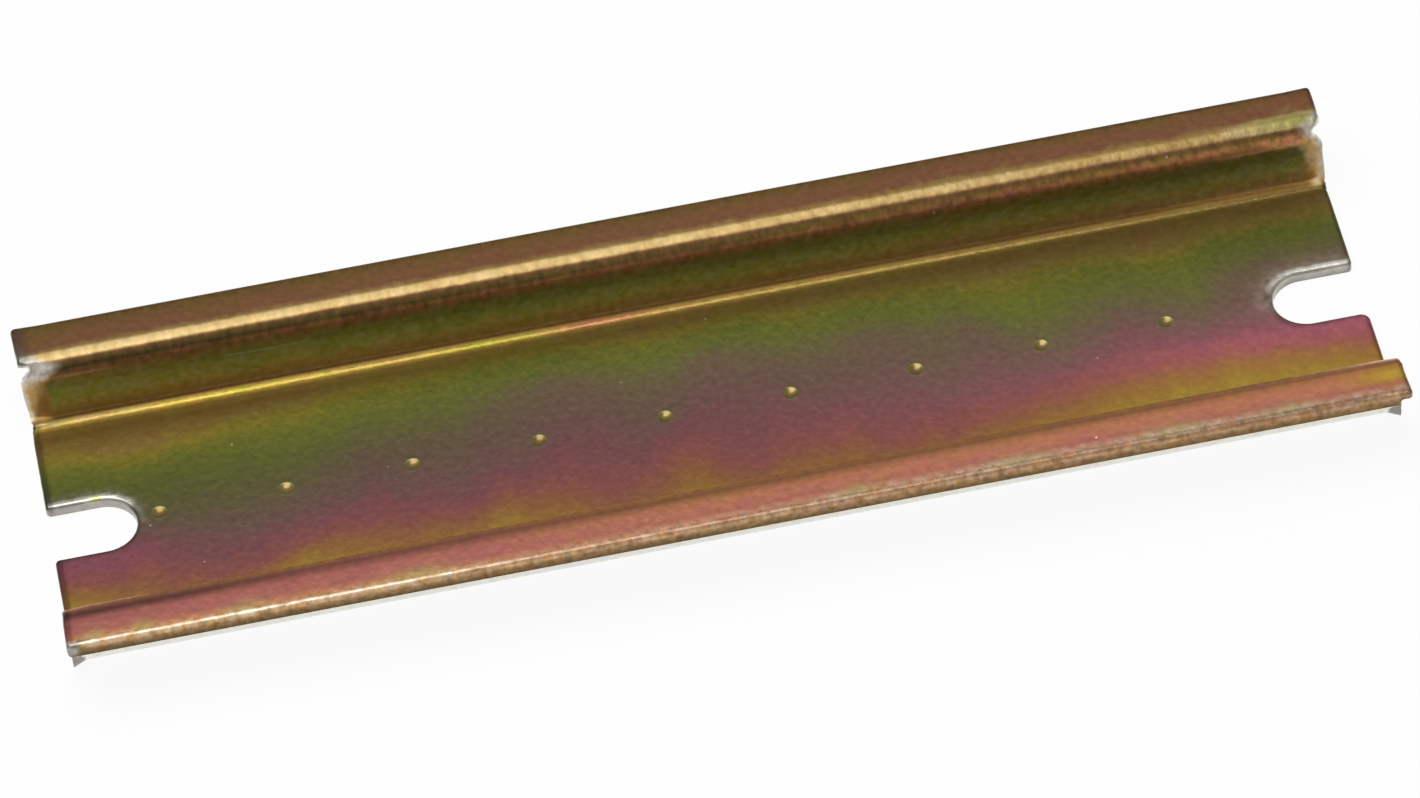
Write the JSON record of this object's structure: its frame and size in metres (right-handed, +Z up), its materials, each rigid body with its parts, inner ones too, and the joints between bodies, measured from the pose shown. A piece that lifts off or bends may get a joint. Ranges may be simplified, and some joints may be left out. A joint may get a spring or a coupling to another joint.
{
  "type": "din rail",
  "caption": "Short cut length of top-hat mounting rail for clip-on switchgear, with a half screw slot at each cut end and a row of punch marks along the web.",
  "frame": {"origin": "on the back of the web, at mid-length and mid-width", "axes": "+X along the rail, +Y across it from flange to flange, +Z up out of its open side"},
  "size_m": [0.108, 0.035, 0.0075],
  "materials": {
    "yellow_passivated_zinc": "zinc plated steel with an iridescent yellow passivation, satin"
  },
  "bodies": {
    "root": {"rail": "yellow_passivated_zinc"}
  },
  "joints": []
}
